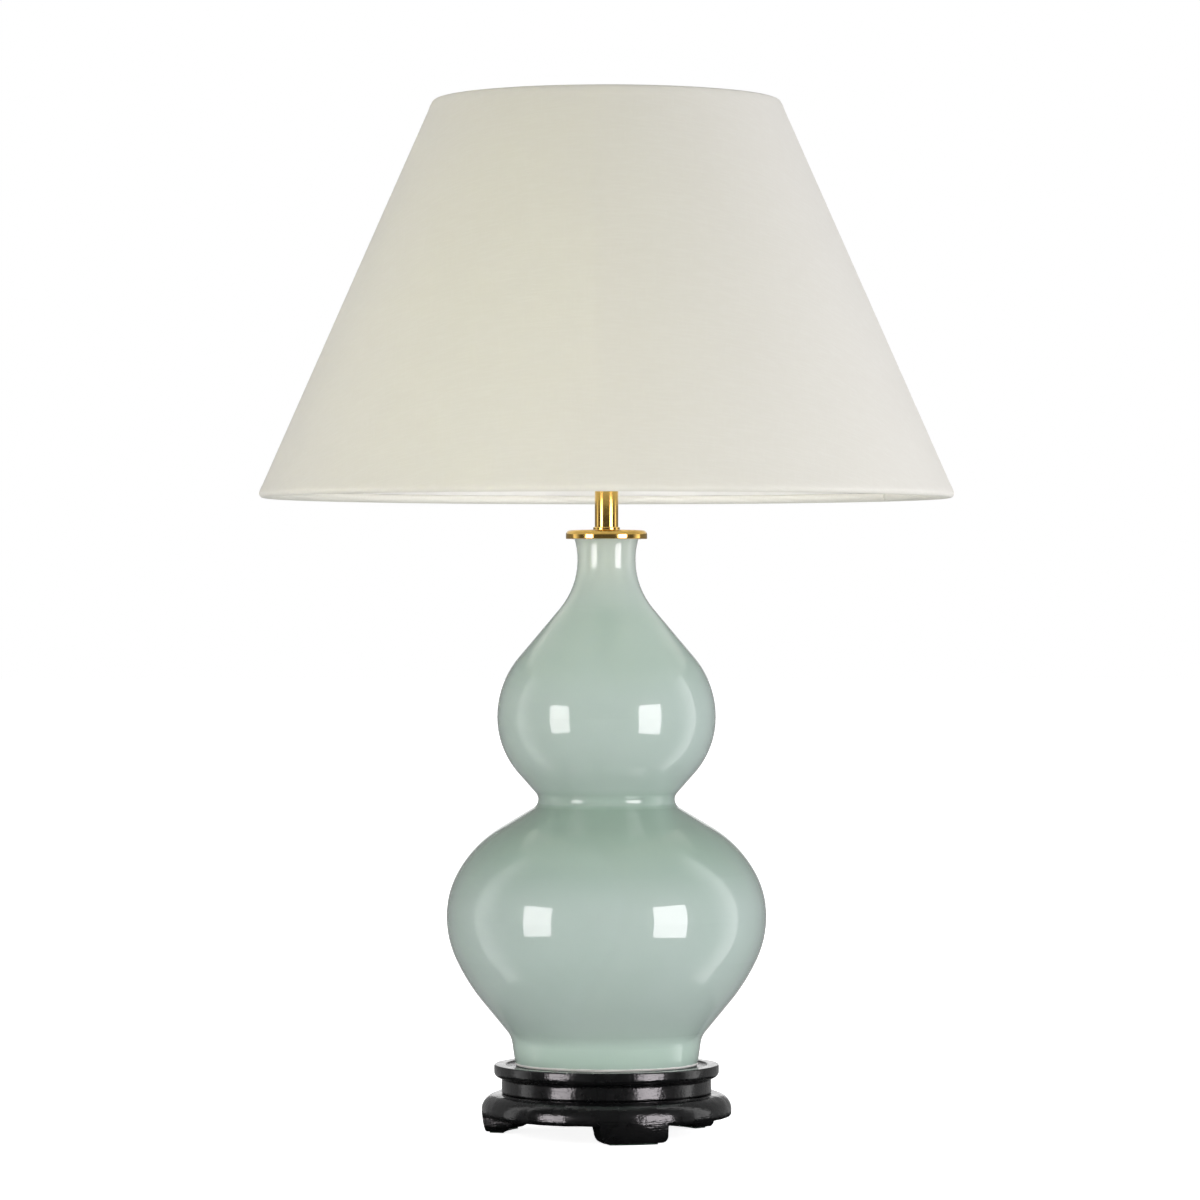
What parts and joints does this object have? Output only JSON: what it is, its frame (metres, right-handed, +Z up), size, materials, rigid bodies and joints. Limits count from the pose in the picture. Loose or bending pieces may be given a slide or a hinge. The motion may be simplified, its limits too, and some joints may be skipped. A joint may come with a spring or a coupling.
{
  "type": "table lamp",
  "caption": "Double gourd ceramic table lamp on a footed wooden stand, with a brass neck, a switched lampholder and a tapered fabric shade.",
  "frame": {"origin": "on the floor plane under the feet, on the lamp's vertical axis", "axes": "+Z up along the lamp's axis, -Y is the front that the picture shows, +X to its right"},
  "size_m": [0.4571, 0.4572, 0.6817],
  "materials": {
    "black_lacquer": "black gloss lacquer over carved wood",
    "felt": "pressed felt",
    "celadon_glaze": "clear gloss celadon glaze",
    "clear_gold_plastic": "moulded gold-toned bush",
    "soft_washer": "soft clamping washer",
    "polished_brass": "polished and lacquered",
    "contact_brass": "plain pressed sheet",
    "plated_steel": "yellow zinc plating",
    "brassed_wire": "brass-plated wire and strip",
    "moulded_insulator": "moulded insulating block",
    "bulb_glass": "clear blown glass",
    "bulb_metal": "thin pressed metal",
    "black_glass": "black vitreous insulator",
    "filament": "yellow phosphor-coated strip",
    "shade_cotton": "plain fine-woven cotton",
    "shade_liner": "stiff white laminate",
    "white_wire": "white powder-coated wire"
  },
  "bodies": {
    "root": {"stand_base": "black_lacquer", "stand_top": "black_lacquer", "foot_pads": "felt", "seat_pad": "felt", "gourd_body": "celadon_glaze", "cord_bush": "clear_gold_plastic", "neck_washer": "soft_washer", "vase_cap": "polished_brass", "neck_ring": "polished_brass", "neck_tube": "polished_brass", "threaded_rod": "plated_steel", "base_washer": "plated_steel", "base_lock_washer": "plated_steel", "base_nut": "plated_steel", "lampholder_cap": "polished_brass", "lampholder_shell": "polished_brass", "lower_shade_ring": "polished_brass", "upper_shade_ring": "polished_brass", "entry_grub_screw": "plated_steel", "switch_block": "moulded_insulator", "terminal_screws": "contact_brass", "centre_contact": "contact_brass", "side_contact": "contact_brass", "screw_shell": "contact_brass"},
    "switch_bar": {"push_bar": "polished_brass"},
    "carrier": {"carrier_base_ring": "brassed_wire", "carrier_arms": "brassed_wire", "carrier_top_ring": "brassed_wire"},
    "bulb": {"bulb_glass": "bulb_glass", "bulb_stem": "bulb_glass", "bulb_screw_cap": "bulb_metal", "bulb_insulator": "black_glass", "bulb_tip": "bulb_metal", "bulb_filaments": "filament", "bulb_filament_mounts": "bulb_metal"},
    "shade": {"shade_cover": "shade_cotton", "shade_liner": "shade_liner", "shade_top_wire": "white_wire", "shade_bottom_wire": "white_wire", "top_hem": "shade_cotton", "bottom_hem": "shade_cotton", "fitter_ring": "white_wire", "fitter_arms": "white_wire"}
  },
  "joints": [
    {"name": "switch_push", "type": "slide", "parent": "root", "child": "switch_bar", "axis": [1, 0, 0], "range_m": [-0.0065, 0]},
    {"name": "carrier_turn", "type": "hinge", "parent": "root", "child": "carrier", "pos_m": [0, 0, 0.4813], "axis": [0, 0, 1], "continuous": true},
    {"name": "bulb_lift", "type": "slide", "parent": "root", "child": "bulb", "axis": [0, 0, 1], "range_m": [0, 0.03]},
    {"name": "shade_lift", "type": "slide", "parent": "carrier", "child": "shade", "axis": [0, 0, 1], "range_m": [0, 0.3]}
  ]
}
